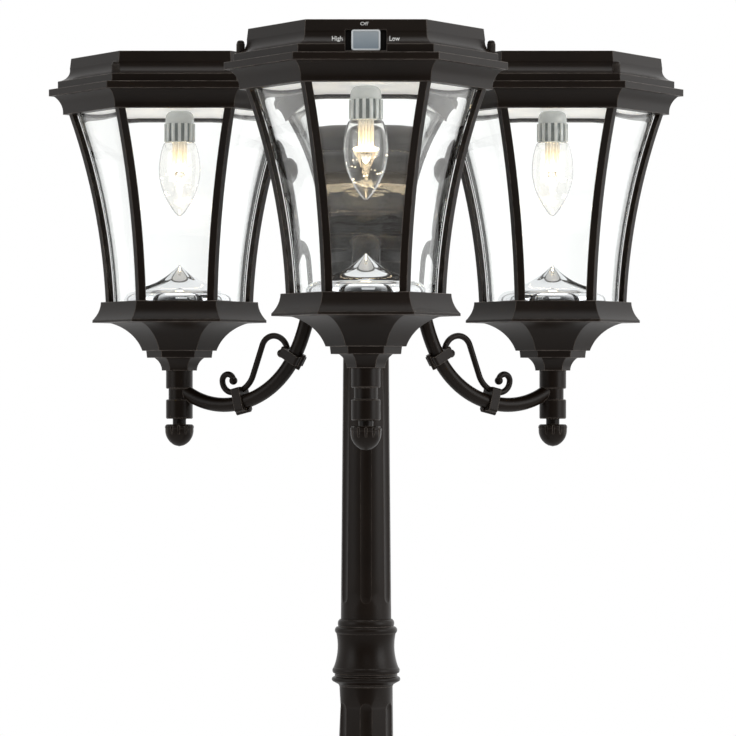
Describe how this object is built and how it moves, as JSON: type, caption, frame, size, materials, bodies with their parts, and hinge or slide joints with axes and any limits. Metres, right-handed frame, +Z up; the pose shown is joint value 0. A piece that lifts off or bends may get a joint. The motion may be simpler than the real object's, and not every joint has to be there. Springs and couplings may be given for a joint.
{
  "type": "triple head lamp post",
  "caption": "Garden lamp post with hexagonal glass lanterns on curved scrolled arms round a fluted post, with lift-off solar caps and a bolt-down base.",
  "frame": {"origin": "on the post axis, on the underside of the base plate", "axes": "+Z up along the post; the front lantern is towards -Y, the other two are 120 degrees to each side of it"},
  "size_m": [0.5976, 0.5175, 2.2099],
  "materials": {
    "bronze_paint": "satin",
    "pane_glass": "polished",
    "mirror_plate": "polished",
    "solar_cell": "polished",
    "ceiling_sheet": "satin",
    "battery_wrap": "satin",
    "switch_plastic": "satin",
    "screw_black": "satin",
    "holder_plastic": "satin",
    "bulb_glass": "polished",
    "light_stem": "polished"
  },
  "bodies": {
    "post": {"base_plate": "bronze_paint", "base_pedestal": "bronze_paint", "lower_post": "bronze_paint", "post_collar": "bronze_paint", "upper_post": "bronze_paint", "arm_hub": "bronze_paint", "hub_finial": "bronze_paint", "scroll_clamps": "bronze_paint", "arm_front": "bronze_paint", "scroll_front": "bronze_paint", "acorn_front": "bronze_paint", "lantern_frame_front": "bronze_paint", "lantern_bowl_front": "bronze_paint", "lantern_glass_front": "pane_glass", "mirror_cone_front": "mirror_plate", "arm_right": "bronze_paint", "scroll_right": "bronze_paint", "acorn_right": "bronze_paint", "lantern_frame_right": "bronze_paint", "lantern_bowl_right": "bronze_paint", "lantern_glass_right": "pane_glass", "mirror_cone_right": "mirror_plate", "arm_left": "bronze_paint", "scroll_left": "bronze_paint", "acorn_left": "bronze_paint", "lantern_frame_left": "bronze_paint", "lantern_bowl_left": "bronze_paint", "lantern_glass_left": "pane_glass", "mirror_cone_left": "mirror_plate"},
    "cap_front": {"lantern_cap_front": "bronze_paint", "solar_panel_front": "solar_cell", "ceiling_plate_front": "ceiling_sheet", "battery_pack_front": "battery_wrap", "bulb_holder_front": "holder_plastic"},
    "switch_front": {"switch_rocker_front": "switch_plastic"},
    "screw_a_front": {"thumb_screw_a_front": "screw_black"},
    "screw_b_front": {"thumb_screw_b_front": "screw_black"},
    "bulb_front": {"bulb_glass_front": "bulb_glass", "bulb_core_front": "light_stem"},
    "cap_right": {"lantern_cap_right": "bronze_paint", "solar_panel_right": "solar_cell", "ceiling_plate_right": "ceiling_sheet", "battery_pack_right": "battery_wrap", "bulb_holder_right": "holder_plastic"},
    "switch_right": {"switch_rocker_right": "switch_plastic"},
    "screw_a_right": {"thumb_screw_a_right": "screw_black"},
    "screw_b_right": {"thumb_screw_b_right": "screw_black"},
    "bulb_right": {"bulb_glass_right": "bulb_glass", "bulb_core_right": "light_stem"},
    "cap_left": {"lantern_cap_left": "bronze_paint", "solar_panel_left": "solar_cell", "ceiling_plate_left": "ceiling_sheet", "battery_pack_left": "battery_wrap", "bulb_holder_left": "holder_plastic"},
    "switch_left": {"switch_rocker_left": "switch_plastic"},
    "screw_a_left": {"thumb_screw_a_left": "screw_black"},
    "screw_b_left": {"thumb_screw_b_left": "screw_black"},
    "bulb_left": {"bulb_glass_left": "bulb_glass", "bulb_core_left": "light_stem"}
  },
  "joints": [
    {"name": "cap_lift_front", "type": "slide", "parent": "post", "child": "cap_front", "axis": [0, 0, 1], "range_m": [0, 0.15]},
    {"name": "switch_turn_front", "type": "hinge", "parent": "cap_front", "child": "switch_front", "pos_m": [0, -0.28896, 2.192], "axis": [0, 0, 1], "range_deg": [-8, 8]},
    {"name": "screw_a_turn_front", "type": "hinge", "parent": "cap_front", "child": "screw_a_front", "pos_m": [0.1085, -0.203, 2.19], "axis": [0, 0, 1], "continuous": true},
    {"name": "screw_b_turn_front", "type": "hinge", "parent": "cap_front", "child": "screw_b_front", "pos_m": [-0.1085, -0.203, 2.19], "axis": [0, 0, 1], "continuous": true},
    {"name": "bulb_turn_front", "type": "hinge", "parent": "cap_front", "child": "bulb_front", "pos_m": [0, -0.203, 2.12], "axis": [0, 0, 1], "continuous": true},
    {"name": "cap_lift_right", "type": "slide", "parent": "post", "child": "cap_right", "axis": [0, 0, 1], "range_m": [0, 0.15]},
    {"name": "switch_turn_right", "type": "hinge", "parent": "cap_right", "child": "switch_right", "pos_m": [0.25025, 0.14448, 2.192], "axis": [0, 0, 1], "range_deg": [-8, 8]},
    {"name": "screw_a_turn_right", "type": "hinge", "parent": "cap_right", "child": "screw_a_right", "pos_m": [0.12155, 0.19546, 2.19], "axis": [0, 0, 1], "continuous": true},
    {"name": "screw_b_turn_right", "type": "hinge", "parent": "cap_right", "child": "screw_b_right", "pos_m": [0.23005, 0.00754, 2.19], "axis": [0, 0, 1], "continuous": true},
    {"name": "bulb_turn_right", "type": "hinge", "parent": "cap_right", "child": "bulb_right", "pos_m": [0.1758, 0.1015, 2.12], "axis": [0, 0, 1], "continuous": true},
    {"name": "cap_lift_left", "type": "slide", "parent": "post", "child": "cap_left", "axis": [0, 0, 1], "range_m": [0, 0.15]},
    {"name": "switch_turn_left", "type": "hinge", "parent": "cap_left", "child": "switch_left", "pos_m": [-0.25025, 0.14448, 2.192], "axis": [0, 0, 1], "range_deg": [-8, 8]},
    {"name": "screw_a_turn_left", "type": "hinge", "parent": "cap_left", "child": "screw_a_left", "pos_m": [-0.23005, 0.00754, 2.19], "axis": [0, 0, 1], "continuous": true},
    {"name": "screw_b_turn_left", "type": "hinge", "parent": "cap_left", "child": "screw_b_left", "pos_m": [-0.12155, 0.19546, 2.19], "axis": [0, 0, 1], "continuous": true},
    {"name": "bulb_turn_left", "type": "hinge", "parent": "cap_left", "child": "bulb_left", "pos_m": [-0.1758, 0.1015, 2.12], "axis": [0, 0, 1], "continuous": true}
  ]
}
